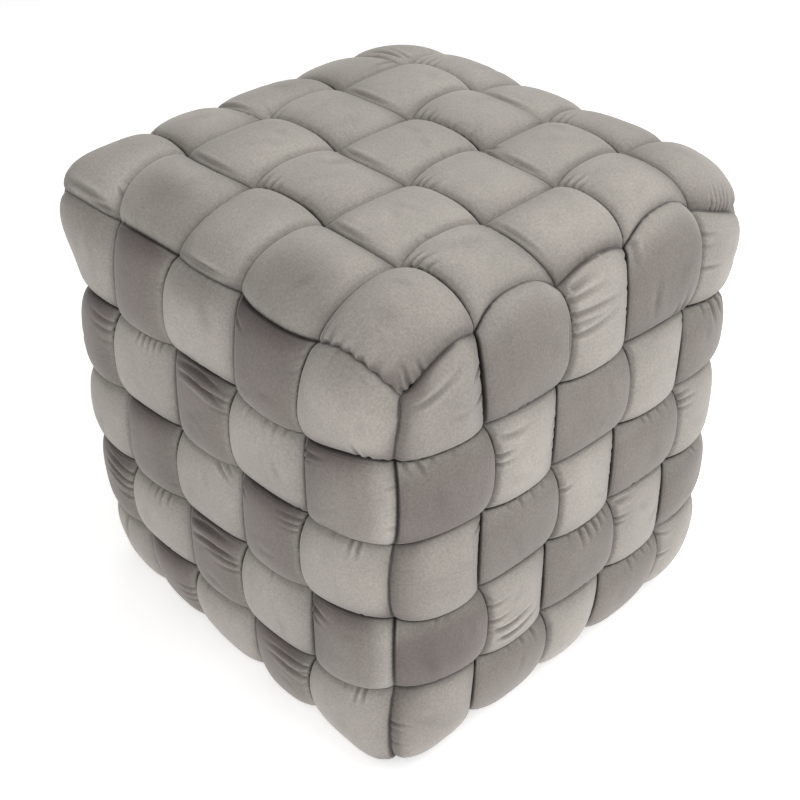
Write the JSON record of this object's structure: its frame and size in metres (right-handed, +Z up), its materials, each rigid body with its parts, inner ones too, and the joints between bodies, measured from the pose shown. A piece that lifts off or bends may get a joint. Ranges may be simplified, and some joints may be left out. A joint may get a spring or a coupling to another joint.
{
  "type": "cube pouf stool",
  "caption": "Cube pouf stool of thick padded velvet strips in a plain weave, for use as a seat, footrest or low side table.",
  "frame": {"origin": "on the floor, under the middle of the base panel", "axes": "+Z up; X and Y square to the four side faces, strips a running along Y over the top and strips b along X"},
  "size_m": [0.4498, 0.4498, 0.4512],
  "materials": {
    "velvet": "short-pile velvet, warm greige, soft sheen that goes from pale to taupe with the direction of the pile",
    "base_cloth": "matt dark woven backing cloth over the flat base board"
  },
  "bodies": {
    "root": {"strip_a_1": "velvet", "strip_a_2": "velvet", "strip_a_3": "velvet", "strip_a_4": "velvet", "strip_a_5": "velvet", "strip_b_1": "velvet", "strip_b_2": "velvet", "strip_b_3": "velvet", "strip_b_4": "velvet", "strip_b_5": "velvet", "band_1": "velvet", "band_2": "velvet", "band_3": "velvet", "band_4": "velvet", "band_5": "velvet", "base_panel": "base_cloth"}
  },
  "joints": []
}
